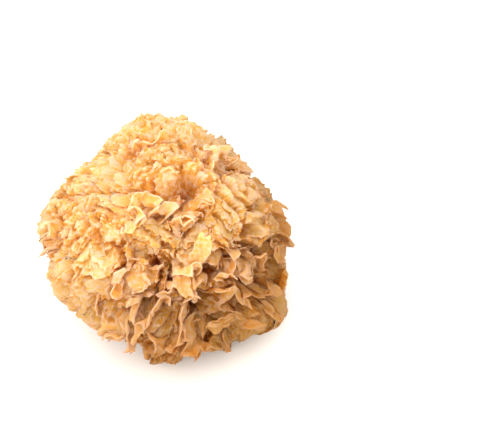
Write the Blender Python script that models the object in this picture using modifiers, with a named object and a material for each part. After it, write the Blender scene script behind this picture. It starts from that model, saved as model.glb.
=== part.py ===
"""Snow fungus: a dried head that stands on the flat cut of its foot.

The foot is a tough knob. Ruffled fronds fork from a point inside it, the focus, in every direction that the
foot leaves free. Each frond is one thin sheet. It is narrow at its root, folds to and fro across its own
share of the head, leans over near its end, and stops in a lobed margin on the head's rounded outer form.
"""

import math

import bmesh
import bpy
import numpy as np

# The head, in metres. +X is its right, -Y its front, and it stands on the plane Z = 0
HEAD_WIDTH = 0.124
HEAD_DEPTH = 0.130
HEAD_HEIGHT = 0.089
WIDEST_HEIGHT = 0.037  # how high the head is widest
RESTING_SHARE = 0.62  # its width where it meets the surface, as a share of its full width

# The foot
FOCUS_HEIGHT = 0.020  # height of the focus
KNOB_RADIUS = 0.0130
KNOB_LUMP = 0.0006  # how deep the dents of the knob are
DENTS_ROUND = 5
DENTS_DOWN = 4
DENT_SLANT = 2.0
FOOT_CONE = math.radians(127)  # fronds keep above this angle from the vertical, measured at the focus
FOOT_RINGS = 18
FOOT_SEGMENTS = 16
CUT_RING = 14  # the ring of the foot that is the rim of the flat cut

# The fronds
FROND_COUNT = 36
FROND_SEED = 31
ROOT_RADIUS = 0.0142  # distance of the roots from the focus
SHEET_THICKNESS = 0.0008
ROOT_THINNING = 0.45  # a sheet's thickness at its root, as a share of the rest
CELL_CLEARANCE = 0.0011  # from a sheet's middle to the side of the cell that it may use
FLOOR_CLEARANCE = 0.0013
SURFACE_POWER = 12
FOLD_ANGLE = 1.60  # how far a sheet turns to and fro at its margin, in radians
FOLDS = (1.4, 1.8)  # whole waves across a frond, least and most
CURL_ACROSS = 0.7  # how far a whole row of folds bends to one side, at most
DEPTH_FILL = 0.68  # how deep the folds are, as a share of their width
CELL_FILL = 0.97  # how far the folds reach, as a share of the way to the cell's walls
LEAN = 0.16  # how far the margins lean over, in radians at the focus
LEAN_POWER = 6
LEAN_DOWN = 0.8  # how much of the lean is down the head's side
LEAN_WAVES = 4  # how many smooth waves turn the lean aside
LEAN_WAVE_STRENGTH = 0.35
LEAN_WAVE_RATE = 2.6  # how fast they change over the directions
LOBE_DEPTH = 0.09  # how far the margin falls back between its lobes, as a share of the reach
REACH_SPREAD = 0.05  # how much longer or shorter a frond may be than its neighbours
QUADS_ACROSS = 15
QUADS_ALONG = 3
ROW_CROWDING = 1.4  # how much closer the rows are near the margin
SWING_GROWTH = 0.8  # how the swing of the folds grows from root to margin, as a power of the way along
LEVEL_AID = (0.3, 0.2, 1.0)  # a direction near the vertical that no frond's axis shares
AXIS_UNEVENNESS = 0.10
AXIS_SAMPLES = 6000
AXIS_PASSES = 6

# Hollows in the outer form: direction from the focus, depth as a share of the reach, angular radius
HOLLOWS = (
    ((0.10, -0.24, 0.92), 0.20, 0.12),
    ((0.34, -0.82, 0.42), 0.26, 0.11),
    ((-0.07, -0.86, 0.50), 0.16, 0.09),
    ((0.74, -0.56, 0.38), 0.22, 0.12),
    ((0.52, -0.85, 0.10), 0.18, 0.14),
    ((-0.52, -0.80, -0.26), 0.20, 0.42),
    ((-0.98, -0.18, 0.03), 0.15, 0.30),
    ((-0.62, 0.44, 0.64), 0.09, 0.38),
    ((0.63, 0.44, 0.64), 0.08, 0.38),
)
# Spurs where the fronds are longer, in the same terms
SPURS = (
    ((0.68, -0.62, 0.05), 0.09, 0.30),
    ((0.92, -0.38, -0.15), 0.12, 0.32),
    ((0.00, 0.60, 0.80), 0.08, 0.30),
)

# Finish of the two kinds of piece: base colour, roughness
FOOT_FINISH = ((0.30, 0.14, 0.05), 0.85)
FROND_FINISHES = (
    ((0.87, 0.58, 0.26), 0.60),
    ((0.82, 0.50, 0.20), 0.62),
    ((0.91, 0.66, 0.36), 0.58),
)


def unit(vectors):
    """The vectors, each made one long."""
    return vectors / np.linalg.norm(vectors, axis=-1, keepdims=True)


def ellipsoid_distance(directions, half_height):
    """Distance from the focus to an ellipsoid round the head's widest level, along each direction."""
    half = np.array([HEAD_WIDTH / 2, HEAD_DEPTH / 2, half_height])
    start = np.array([0.0, 0.0, (FOCUS_HEIGHT - WIDEST_HEIGHT) / half_height])
    scaled = directions / half
    square = np.sum(scaled * scaled, axis=-1)
    cross = np.sum(scaled * start, axis=-1)
    return (-cross + np.sqrt(cross * cross - square * (start @ start - 1.0))) / square


def bump(directions, centre, radius):
    """A smooth bump on the sphere of directions: 1 at its centre, falling off over its angular radius."""
    centre = np.array(centre) / np.linalg.norm(centre)
    away = np.arccos(np.clip(directions @ centre, -1.0, 1.0))
    return np.exp(-((away / radius) ** 2))


def reach(directions):
    """Distance from the focus to the head's outer form: a high dome, a narrower bowl below, and the surface.

    The surface cuts the bowl off softly: the distance is the p-th root of the sum of both powers, with p
    negative.
    """
    bowl_half_height = WIDEST_HEIGHT / math.sqrt(1.0 - RESTING_SHARE**2)
    above = ellipsoid_distance(directions, HEAD_HEIGHT - WIDEST_HEIGHT)
    below = ellipsoid_distance(directions, bowl_half_height)
    is_above = FOCUS_HEIGHT + above * directions[..., 2] > WIDEST_HEIGHT
    distance = np.where(is_above, above, below)
    for centre, depth, radius in HOLLOWS:
        distance = distance * (1.0 - depth * bump(directions, centre, radius))
    for centre, length, radius in SPURS:
        distance = distance * (1.0 + length * bump(directions, centre, radius))
    to_surface = (FOCUS_HEIGHT - FLOOR_CLEARANCE) / np.maximum(-directions[..., 2], 1e-3)
    return (distance**-SURFACE_POWER + to_surface**-SURFACE_POWER) ** (-1.0 / SURFACE_POWER)


def spiral_directions(count):
    """Directions spread evenly over the part of the sphere above the foot's cone, along a golden spiral."""
    steps = np.arange(count)
    height = 1.0 - (steps + 0.5) / count * (1.0 - math.cos(FOOT_CONE))
    turn = steps * math.pi * (3.0 - math.sqrt(5.0))
    ring = np.sqrt(1.0 - height**2)
    return np.stack([ring * np.cos(turn), ring * np.sin(turn), height], axis=-1)


def frond_axes(generator):
    """One direction for each frond: an uneven spread, then each is moved to the middle of its share."""
    samples = spiral_directions(AXIS_SAMPLES)
    axes = unit(spiral_directions(FROND_COUNT) + generator.normal(0.0, AXIS_UNEVENNESS, (FROND_COUNT, 3)))
    for _ in range(AXIS_PASSES):
        nearest = np.argmax(samples @ axes.T, axis=1)
        axes = unit(np.array([samples[nearest == i].mean(axis=0) for i in range(FROND_COUNT)]))
    return axes


def cell_walls(axes, number):
    """Planes through the focus that bound a frond's cell, as outward unit normals.

    A plane stands halfway to each other frond's axis, and one more touches the foot's cone below this axis.
    """
    axis = axes[number]
    others = np.delete(axes, number, axis=0)
    azimuth = math.atan2(axis[1], axis[0])
    level, upright = math.cos(FOOT_CONE), -math.sin(FOOT_CONE)
    cone_normal = np.array([level * math.cos(azimuth), level * math.sin(azimuth), upright])
    return np.vstack([unit(others - axis), cone_normal])


def spread_over_cell(sideways, outward, axis, first, second, walls, distance):
    """Offsets from a frond's axis for places on a square from -1 to 1, at a distance along the axis.

    The square is rounded to a disc, and the disc is stretched to the cell's outline: a place at a share of
    the disc's radius comes to the same share of the way to the nearest wall in its own direction.
    """
    round_sideways = sideways * np.sqrt(1.0 - outward**2 / 2)
    round_outward = outward * np.sqrt(1.0 - sideways**2 / 2)
    offset = round_sideways[..., None] * first + round_outward[..., None] * second
    room = distance[..., None] * (walls @ -axis) - CELL_CLEARANCE
    share = np.linalg.norm(offset, axis=-1)
    nearness = np.max(offset @ walls.T / np.maximum(room, 1e-5), axis=-1)
    return offset * (share / np.maximum(nearness, 1e-3) * CELL_FILL)[..., None]


def lean_field(directions, waves):
    """Which way margins lean at each direction: down the head's side, turned aside by a few smooth waves."""
    push = np.zeros(directions.shape)
    push[..., 2] = -LEAN_DOWN
    for amplitude, frequency, phase in waves:
        push = push + amplitude * np.sin(directions @ frequency + phase)[..., None]
    return push - np.sum(push * directions, axis=-1, keepdims=True) * directions


def lean_over(directions, distance, waves):
    """Points turned about the focus by an angle that grows steeply from the root to the head's outer form.

    A point keeps its distance as a share of the outer form's distance, which is read again where it comes to.
    """
    share = distance / reach(directions)
    turn = (LEAN * share**LEAN_POWER)[..., None]
    turned = unit(directions + turn * lean_field(directions, waves))
    return turned * (share * reach(turned))[..., None]


def centred(rows):
    """Each row's values, moved so that the least and the greatest are as far from zero."""
    return rows - (rows.max(axis=1, keepdims=True) + rows.min(axis=1, keepdims=True)) / 2


def folded_rows(across, along, folds, phase, curl):
    """Sideways offsets of a frond's rows, each drawn as a meander inside a square from -1 to 1.

    A row's direction swings to and fro as a sine of the way along it, and the swing grows from the root to
    the margin. The row's points are the running sums of that direction's cosine and sine.
    """
    swing = FOLD_ANGLE * along**SWING_GROWTH
    heading = swing * np.sin(2 * math.pi * folds * across + phase) + curl * (across - 0.5) * 2
    middle = (heading[:, 1:] + heading[:, :-1]) / 2
    zero = np.zeros((len(heading), 1))
    sideways = centred(np.hstack([zero, np.cumsum(np.cos(middle), axis=1)]))
    outward = centred(np.hstack([zero, np.cumsum(np.sin(middle), axis=1)]))
    width = sideways.max(axis=1, keepdims=True)
    depth = outward.max() * width / width[-1]
    return sideways / width, DEPTH_FILL * outward / depth


def frond_points(sheet, axes, number, waves, generator):
    """Places of a frond's grid points, from their places on a flat unit square."""
    across = sheet[..., 0] + 0.5
    along = 1.0 - (0.5 - sheet[..., 1]) ** ROW_CROWDING
    axis = axes[number]
    folds = generator.uniform(*FOLDS)
    phase, facing, lobe_phase = generator.uniform(0.0, 2 * math.pi, 3)
    curl = generator.uniform(-CURL_ACROSS, CURL_ACROSS)
    length = 1.0 + generator.uniform(-REACH_SPREAD, REACH_SPREAD)

    level = unit(np.cross(axis, LEVEL_AID))
    first = math.cos(facing) * level + math.sin(facing) * np.cross(axis, level)
    second = np.cross(axis, first)

    sideways, outward = folded_rows(across, along, folds, phase, curl)
    axis_length = reach(axis)
    distance = ROOT_RADIUS + (axis_length - ROOT_RADIUS) * along
    offset = spread_over_cell(sideways, outward, axis, first, second, cell_walls(axes, number), distance)
    directions = unit(distance[..., None] * axis + offset)
    lobes = 1.0 - LOBE_DEPTH * (0.5 - 0.5 * np.cos(4 * math.pi * folds * across + lobe_phase))
    outer = reach(directions) * (1.0 + (length * lobes - 1.0) * along)
    points = lean_over(directions, ROOT_RADIUS + (outer - ROOT_RADIUS) * along, waves)
    return points + np.array([0.0, 0.0, FOCUS_HEIGHT])


def new_material(name, finish):
    """A plain material from a base colour and a roughness."""
    colour, roughness = finish
    material = bpy.data.materials.new(name)
    material.use_nodes = True
    shader = material.node_tree.nodes["Principled BSDF"]
    shader.inputs["Base Color"].default_value = (*colour, 1.0)
    shader.inputs["Roughness"].default_value = roughness
    shader.inputs["Metallic"].default_value = 0.0
    return material


def new_object(name, mesh, material, collection):
    """An object for a finished mesh, in the head's own collection."""
    mesh.materials.append(material)
    piece = bpy.data.objects.new(name, mesh)
    collection.objects.link(piece)
    return piece


def make_foot(collection):
    """The foot: a dented knob round the focus, on a short stub that widens to the flat cut it stands on."""
    ball = bmesh.new()
    bmesh.ops.create_uvsphere(ball, u_segments=FOOT_SEGMENTS, v_segments=FOOT_RINGS, radius=1.0)
    cut_angle = math.pi * CUT_RING / FOOT_RINGS
    for vertex in ball.verts:
        direction = vertex.co.normalized()
        polar = math.acos(max(-1.0, min(1.0, direction.z)))
        azimuth = math.atan2(direction.y, direction.x)
        dents = math.sin(DENTS_ROUND * azimuth + DENT_SLANT * direction.z) * math.sin(DENTS_DOWN * polar)
        if polar > cut_angle - 0.01:
            vertex.co = direction * (FOCUS_HEIGHT / -direction.z)
            vertex.co.z = -FOCUS_HEIGHT
        else:
            vertex.co = direction * (KNOB_RADIUS - KNOB_LUMP * (0.5 + 0.5 * dents))
        vertex.co.z += FOCUS_HEIGHT
    mesh = bpy.data.meshes.new("base")
    ball.to_mesh(mesh)
    ball.free()
    mesh.shade_smooth()
    return new_object("base", mesh, new_material("foot", FOOT_FINISH), collection)


def add_thickness_group(frond, row_length):
    """A vertex group that thins the sheet at its root row, and leaves the rest at full thickness."""
    group = frond.vertex_groups.new(name="thickness")
    count = len(frond.data.vertices)
    group.add(list(range(row_length)), ROOT_THINNING, "REPLACE")
    group.add(list(range(row_length, count)), 1.0, "REPLACE")
    return group.name


def make_frond(axes, number, waves, generator, material, collection):
    """One frond: a flat grid moved into its folded place, then given its thickness."""
    name = f"frond_{number + 1:02d}"
    grid = bmesh.new()
    bmesh.ops.create_grid(grid, x_segments=QUADS_ACROSS, y_segments=QUADS_ALONG, size=0.5)
    mesh = bpy.data.meshes.new(name)
    grid.to_mesh(mesh)
    grid.free()
    flat = np.empty(len(mesh.vertices) * 3, dtype=np.float32)
    mesh.vertices.foreach_get("co", flat)
    sheet = flat.astype(float).reshape(QUADS_ALONG + 1, QUADS_ACROSS + 1, 3)
    points = frond_points(sheet, axes, number, waves, generator)
    mesh.vertices.foreach_set("co", points.astype(np.float32).ravel())
    mesh.shade_smooth()
    frond = new_object(name, mesh, material, collection)
    wall = frond.modifiers.new("thickness", "SOLIDIFY")
    wall.thickness = SHEET_THICKNESS
    wall.offset = 0.0
    wall.vertex_group = add_thickness_group(frond, QUADS_ACROSS + 1)
    return frond


def main():
    """Clear the scene and make the head, piece by piece."""
    for left_over in list(bpy.data.objects):
        bpy.data.objects.remove(left_over, do_unlink=True)
    collection = bpy.data.collections.new("snow_fungus")
    bpy.context.scene.collection.children.link(collection)
    generator = np.random.default_rng(FROND_SEED)
    axes = frond_axes(generator)
    waves = []
    for _ in range(LEAN_WAVES):
        strength = generator.normal(0.0, LEAN_WAVE_STRENGTH, 3)
        rate = generator.normal(0.0, LEAN_WAVE_RATE, 3)
        waves.append((strength, rate, generator.uniform(0.0, 2 * math.pi)))
    make_foot(collection)
    finishes = [new_material(f"frond_tone_{i + 1}", finish) for i, finish in enumerate(FROND_FINISHES)]
    for number in range(FROND_COUNT):
        make_frond(axes, number, waves, generator, finishes[number % len(finishes)], collection)


main()
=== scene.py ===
"""The looks of a dried snow fungus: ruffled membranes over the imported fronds, a woody foot, light and camera.

Each frond of the frame is replaced by a finer membrane in the same share of the head. All shapes are
surfaces of two parameters, computed as whole arrays.
"""

import logging
import math
from dataclasses import dataclass, field
from enum import Enum

import bpy
import numpy as np
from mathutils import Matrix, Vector


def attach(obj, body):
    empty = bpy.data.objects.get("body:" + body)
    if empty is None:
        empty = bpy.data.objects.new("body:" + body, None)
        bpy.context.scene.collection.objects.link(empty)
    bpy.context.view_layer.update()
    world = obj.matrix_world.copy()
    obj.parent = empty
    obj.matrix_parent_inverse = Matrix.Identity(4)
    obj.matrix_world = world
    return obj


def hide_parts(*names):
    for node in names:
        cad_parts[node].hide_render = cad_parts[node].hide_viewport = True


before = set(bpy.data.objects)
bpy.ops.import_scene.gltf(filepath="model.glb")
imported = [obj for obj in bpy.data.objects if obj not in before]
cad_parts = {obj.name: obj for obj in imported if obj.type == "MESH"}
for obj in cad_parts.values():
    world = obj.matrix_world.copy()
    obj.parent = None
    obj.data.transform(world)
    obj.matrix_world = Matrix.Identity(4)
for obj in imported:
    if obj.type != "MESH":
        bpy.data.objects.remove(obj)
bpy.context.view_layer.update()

LOG = logging.getLogger("snow_fungus")
Array = np.ndarray
Socket = bpy.types.NodeSocket

# The photograph's frame, and the head's place in it, in its pixels
FRAME_WIDTH_PX = 480
FRAME_HEIGHT_PX = 422
HEAD_CENTRE_PX = (166.0, 243.5)
HEAD_WIDTH_PX = 261.0

# Where each frond's own random draws start, and the angle past which an edge is shaded sharp
SHEET_SEED = 1000
PETAL_SEED = 2000
SHARP_ANGLE = math.radians(42)


class Side(Enum):
    """The two faces of a membrane."""

    FRONT = 1.0
    BACK = -1.0


def unit(vectors: Array) -> Array:
    """The vectors, each made one long."""
    return vectors / np.maximum(np.linalg.norm(vectors, axis=-1, keepdims=True), 1e-12)


def smooth_step(low: float, high: float, values: Array) -> Array:
    """A smooth rise from 0 at low to 1 at high, as 3x^2 - 2x^3 of the share of the way."""
    share = np.clip((values - low) / (high - low), 0.0, 1.0)
    return share * share * (3.0 - 2.0 * share)


@dataclass(frozen=True)
class HeadForm:
    """The head's rounded outer form, seen from the focus that all fronds fork from. Sizes in metres."""

    width: float = 0.124
    depth: float = 0.130
    height: float = 0.089
    widest_height: float = 0.037
    resting_share: float = 0.62
    focus_height: float = 0.020
    floor_clearance: float = 0.0013
    surface_power: float = 12.0
    lean: float = 0.16
    lean_power: float = 6.0
    down_push: float = 0.8
    swirls: tuple = ((0.08, 6.0, 7.0), (0.04, 13.0, 10.0))
    crumples: tuple = ((0.0110, 0.0009, 12), (0.0055, 0.0006, 14), (0.0026, 0.00034, 16))
    crumple_seed: int = 21
    swirl_waves: int = 12
    swirl_seed: int = 5
    foot_cone: float = math.radians(127)
    hollows: tuple = (
        ((0.10, -0.24, 0.92), 0.20, 0.12),
        ((0.34, -0.82, 0.42), 0.26, 0.11),
        ((-0.07, -0.86, 0.50), 0.16, 0.09),
        ((0.74, -0.56, 0.38), 0.22, 0.12),
        ((0.52, -0.85, 0.10), 0.18, 0.14),
        ((-0.52, -0.80, -0.26), 0.20, 0.42),
        ((-0.98, -0.18, 0.03), 0.15, 0.30),
        ((-0.62, 0.44, 0.64), 0.09, 0.38),
        ((0.63, 0.44, 0.64), 0.08, 0.38),
    )
    spurs: tuple = (
        ((0.68, -0.62, 0.05), 0.09, 0.30),
        ((0.92, -0.38, -0.15), 0.12, 0.32),
        ((0.00, 0.60, 0.80), 0.08, 0.30),
    )
    calm: tuple = (((-0.35, -0.22, 0.91), 1.3, 0.60), ((-0.40, -0.88, -0.22), 1.6, 0.50))
    loose: tuple = (((0.50, -0.75, 0.30), 1.0, 0.70), ((0.90, -0.43, 0.0), 1.4, 0.35))
    caves: tuple = (
        ((0.23, -0.06, 0.97), 0.012, 0.110),
        ((0.40, -0.63, 0.66), 0.017, 0.085),
        ((-0.01, -0.67, 0.74), 0.008, 0.060),
        ((0.79, -0.36, 0.50), 0.015, 0.090),
        ((0.61, -0.42, 0.67), 0.009, 0.055),
        ((0.64, -0.24, 0.73), 0.010, 0.050),
        ((0.10, -0.51, 0.86), 0.006, 0.050),
        ((0.34, -0.85, 0.41), 0.012, 0.070),
        ((0.52, -0.80, 0.31), 0.012, 0.070),
        ((-0.15, -0.85, 0.50), 0.012, 0.050),
        ((0.81, -0.50, 0.31), 0.014, 0.080),
        ((0.59, -0.68, 0.43), 0.008, 0.080),
    )
    swells: tuple = (
        ((0.87, -0.47, 0.10), 0.014, 0.15),
        ((0.88, -0.46, -0.03), 0.008, 0.15),
        ((0.75, -0.66, -0.07), 0.012, 0.16),
        ((0.60, -0.79, -0.09), 0.012, 0.14),
        ((0.12, -0.98, -0.15), 0.010, 0.20),
        ((-0.30, -0.94, -0.03), -0.008, 0.16),
        ((-0.62, -0.72, 0.10), -0.007, 0.12),
        ((-0.20, 0.67, 0.72), 0.005, 0.16),
        ((0.45, 0.66, 0.59), 0.010, 0.22),
        ((0.84, 0.35, 0.42), 0.008, 0.18),
        ((-0.88, -0.37, 0.29), -0.018, 0.17),
        ((-0.48, -0.88, 0.05), -0.010, 0.20),
    )
    cave_clearance: float = 0.005
    loose_rate: float = 5.0
    loose_limits: tuple[float, float] = (-0.7, 0.9)
    loose_seed: int = 9

    def ellipsoid_distance(self, directions: Array, half_height: float) -> Array:
        """Distance from the focus to an ellipsoid round the head's widest level.

        Args:
            directions: unit vectors from the focus.
            half_height: the ellipsoid's half height.

        Returns:
            The positive root of the quadratic that puts the scaled point on a unit sphere.
        """
        half = np.array([self.width / 2, self.depth / 2, half_height])
        start = np.array([0.0, 0.0, (self.focus_height - self.widest_height) / half_height])
        scaled = directions / half
        square = np.sum(scaled * scaled, axis=-1)
        cross = np.sum(scaled * start, axis=-1)
        return (-cross + np.sqrt(cross * cross - square * (start @ start - 1.0))) / square

    @staticmethod
    def bump(directions: Array, centre: tuple, radius: float) -> Array:
        """A bump over the directions.

        Args:
            directions: unit vectors from the focus.
            centre: the bump's direction.
            radius: the angle at which it has fallen to about a third.

        Returns:
            Exp of minus the squared angle from the centre, in radii.
        """
        middle = np.array(centre) / np.linalg.norm(centre)
        away = np.arccos(np.clip(directions @ middle, -1.0, 1.0))
        return np.exp(-((away / radius) ** 2))

    def cave_depths(self, directions: Array) -> Array:
        """How deep the caves are.

        Args:
            directions: unit vectors from the focus.

        Returns:
            Depths in metres: flat-bottomed bumps, exp of minus the angle's fourth power in radii, added up.
        """
        total = np.zeros(directions.shape[:-1])
        for centre, depth, radius in self.caves:
            middle = np.array(centre) / np.linalg.norm(centre)
            away = np.arccos(np.clip(directions @ middle, -1.0, 1.0))
            total = total + depth * np.exp(-((away / radius) ** 4))
        return total

    def swell_heights(self, directions: Array) -> Array:
        """How far the web stands out or in besides its own relief: the swells' bumps, added up."""
        return sum(rise * self.bump(directions, centre, radius) for centre, rise, radius in self.swells)

    def reach(self, directions: Array) -> Array:
        """Distance from the focus to the outer form along each direction.

        Args:
            directions: unit vectors from the focus.

        Returns:
            A high dome's distance above the widest level and a narrower bowl's below it, less the hollows
            and more the spurs, cut off softly by the surface that the head stands on.
        """
        bowl_half_height = self.widest_height / math.sqrt(1.0 - self.resting_share**2)
        above = self.ellipsoid_distance(directions, self.height - self.widest_height)
        below = self.ellipsoid_distance(directions, bowl_half_height)
        is_above = self.focus_height + above * directions[..., 2] > self.widest_height
        distance = np.where(is_above, above, below)
        for centre, depth, radius in self.hollows:
            distance = distance * (1.0 - depth * self.bump(directions, centre, radius))
        for centre, length, radius in self.spurs:
            distance = distance * (1.0 + length * self.bump(directions, centre, radius))
        to_surface = (self.focus_height - self.floor_clearance) / np.maximum(-directions[..., 2], 1e-3)
        power = self.surface_power
        return (distance**-power + to_surface**-power) ** (-1.0 / power)

    def spiral_directions(self, count: int) -> Array:
        """Directions on a golden spiral.

        Args:
            count: how many there are.

        Returns:
            Unit vectors, spread evenly over the part of the sphere above the foot's cone.
        """
        steps = np.arange(count)
        height = 1.0 - (steps + 0.5) / count * (1.0 - math.cos(self.foot_cone))
        turn = steps * math.pi * (3.0 - math.sqrt(5.0))
        ring = np.sqrt(1.0 - height**2)
        return np.stack([ring * np.cos(turn), ring * np.sin(turn), height], axis=-1)

    def lean_field(self, directions: Array, waves: list) -> Array:
        """Which way margins lean.

        Args:
            directions: unit vectors from the focus.
            waves: each wave's push, its rates and its phase.

        Returns:
            Vectors at right angles to the directions: down the head's side, turned aside by the waves.
        """
        push = np.zeros(directions.shape)
        push[..., 2] = -self.down_push
        for amplitude, frequency, phase in waves:
            push = push + amplitude * np.sin(directions @ frequency + phase)[..., None]
        return push - np.sum(push * directions, axis=-1, keepdims=True) * directions

    @staticmethod
    def field(points: Array, rate: float, count: int, channels: int, draw: np.random.Generator) -> Array:
        """Smooth irregular values: for each channel, sines that run through space in random directions.

        Args:
            points: where the values are wanted.
            rate: the spread of the sines' rates, in radians for each unit of length.
            count: how many sines are added up.
            channels: how many values each point gets.
            draw: the source of the random numbers.

        Returns:
            The sums, with a spread of about one.
        """
        rates = draw.normal(0.0, rate, (3, count * channels))
        phases = draw.uniform(0.0, 2 * math.pi, count * channels)
        waves = np.sin(points @ rates + phases).reshape(*points.shape[:-1], channels, count)
        return waves.sum(axis=-1) / math.sqrt(count / 2.0)

    @staticmethod
    def band(points: Array, rate: float, count: int, draw: np.random.Generator) -> Array:
        """Smooth irregular values of one scale: sines of nearly one rate that run in random directions.

        Args:
            points: where the values are wanted.
            rate: the sines' rate, in radians for each unit of length.
            count: how many sines are added up.
            draw: the source of the random numbers.

        Returns:
            The sums, with a spread of about one.
        """
        ways = unit(draw.normal(0.0, 1.0, (count, 3))) * draw.uniform(0.7, 1.3, (count, 1)) * rate
        return np.sin(points @ ways.T + draw.uniform(0.0, 2 * math.pi, count)).sum(axis=-1) / math.sqrt(count / 2.0)

    def looseness(self, directions: Array) -> Array:
        """Where the head is calm and where it is loose.

        Args:
            directions: unit vectors from the focus.

        Returns:
            From 0, calm, with a nearly closed web, to 1, loose, with flaps and caves.
        """
        draw = np.random.default_rng(self.loose_seed)
        value = self.field(directions, self.loose_rate, 12, 1, draw)[..., 0]
        for centre, amount, radius in self.calm:
            value = value - amount * self.bump(directions, centre, radius)
        for centre, amount, radius in self.loose:
            value = value + amount * self.bump(directions, centre, radius)
        return smooth_step(*self.loose_limits, value)

    def swirl_over(self, directions: Array, share: Array) -> Array:
        """Turn neighbouring margins the same way, over patches of a few centimetres.

        Args:
            directions: unit vectors from the focus.
            share: the points' shares of the outer form's distance.

        Returns:
            The turned directions: each swirl adds sines of a band of frequencies, growing with the share.
        """
        draw = np.random.default_rng(self.swirl_seed)
        for amount, rate, power in self.swirls:
            push = np.zeros(directions.shape)
            for _ in range(self.swirl_waves):
                amplitude, frequency = draw.normal(0.0, 1.0, 3), draw.normal(0.0, rate, 3)
                push = push + amplitude * np.sin(directions @ frequency + draw.uniform(0.0, 2 * math.pi))[..., None]
            push = push / math.sqrt(self.swirl_waves)
            push = push - np.sum(push * directions, axis=-1, keepdims=True) * directions
            directions = unit(directions + (amount * share**power)[..., None] * push)
        return directions

    def crumpled(self, points: Array) -> Array:
        """Crumple everything in the head together, so that neighbouring sheets keep apart.

        Args:
            points: points about the focus.

        Returns:
            The points, moved by sums of triangle waves that run through space in random directions.
        """
        grown = np.clip(np.linalg.norm(points, axis=-1, keepdims=True) / self.width * 2.5 - 0.25, 0.0, 1.0)
        draw = np.random.default_rng(self.crumple_seed)
        for spacing, amount, count in self.crumples:
            ways = unit(draw.normal(0.0, 1.0, (count, 3)))
            rates = 2 * math.pi / (spacing * draw.uniform(0.7, 1.4, count))
            phases = draw.uniform(0.0, 2 * math.pi, count)
            pushes = unit(draw.normal(0.0, 1.0, (count, 3))) * amount / math.sqrt(count / 3.0)
            folded = np.arcsin(0.75 * np.sin(points @ (ways.T * rates) + phases)) * (2 / math.pi)
            points = points + grown * (folded @ pushes)
        return points

    def lean_over(self, directions: Array, distance: Array, waves: list) -> Array:
        """Turn points about the focus, the more the nearer they are to the outer form.

        Args:
            directions: unit vectors from the focus to the points.
            distance: the points' distances from the focus.
            waves: the lean field's waves.

        Returns:
            The points, each at its old share of the outer form's distance in its new direction.
        """
        share = distance / self.reach(directions)
        turn = (self.lean * share**self.lean_power)[..., None]
        turned = unit(directions + turn * self.lean_field(directions, waves))
        turned = self.swirl_over(turned, share)
        return turned * (share * self.reach(turned))[..., None]


def grid_normals(points: Array) -> Array:
    """Unit normals of a grid: the cross product of its differences across and along."""
    return unit(np.cross(np.gradient(points, axis=1), np.gradient(points, axis=0)))


def arc_lengths(points: Array) -> tuple[Array, Array]:
    """Running lengths over a grid surface.

    Args:
        points: rows by columns by three.

    Returns:
        Lengths along the rows, and along the columns counted back from the last row.
    """
    across = np.linalg.norm(np.diff(points, axis=1), axis=-1)
    along = np.linalg.norm(np.diff(points, axis=0), axis=-1)
    zero_column, zero_row = np.zeros((points.shape[0], 1)), np.zeros((1, points.shape[1]))
    from_margin = np.vstack([np.cumsum(along[::-1], axis=0)[::-1], zero_row])
    return np.hstack([zero_column, np.cumsum(across, axis=1)]), from_margin


def outline_ring(rows: int, columns: int) -> tuple[Array, Array]:
    """The points round a grid's outline.

    Args:
        rows: how many rows the grid has.
        columns: how many columns it has.

    Returns:
        Their row numbers and their column numbers, in order.
    """
    first, up = np.arange(columns - 1), np.arange(rows - 1)
    ring_rows = np.concatenate([0 * first, up, 0 * first + rows - 1, up[::-1] + 1])
    ring_columns = np.concatenate([first, 0 * up + columns - 1, first[::-1] + 1, 0 * up])
    return ring_rows, ring_columns


def hollowness(points: Array) -> Array:
    """How hollow a grid surface is.

    Args:
        points: rows by columns by three.

    Returns:
        How far the mean of each point's neighbours stands off the surface, in steps of the grid.
    """
    padded = np.pad(points, ((1, 1), (1, 1), (0, 0)), "edge")
    around = (padded[:-2, 1:-1] + padded[2:, 1:-1] + padded[1:-1, :-2] + padded[1:-1, 2:]) / 4 - points
    hollow = np.sum(around * grid_normals(points), axis=-1)
    hollow[[0, -1], :] = 0.0
    hollow[:, [0, -1]] = 0.0
    across, from_margin = arc_lengths(points)
    spacing = (np.gradient(across, axis=1) - np.gradient(from_margin, axis=0)) / 2
    return hollow / np.maximum(spacing, 1e-5)


def surface_values(head: HeadForm, front: Array, vertices: Array) -> dict[str, Array]:
    """The values that colour a web.

    Args:
        head: the head, for the depth of each point in it.
        front: the web's front grid.
        vertices: the front's points, then those behind it.

    Returns:
        Inwardness, edge and hollow for each vertex.
    """
    inward = 1.0 - np.linalg.norm(vertices, axis=1) / head.reach(unit(vertices))
    return {
        "inwardness": inward,
        "edge": np.zeros(len(vertices)),
        "hollow": np.concatenate([hollowness(front).ravel(), np.zeros(len(vertices) - front[..., 0].size)]),
    }


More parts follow.
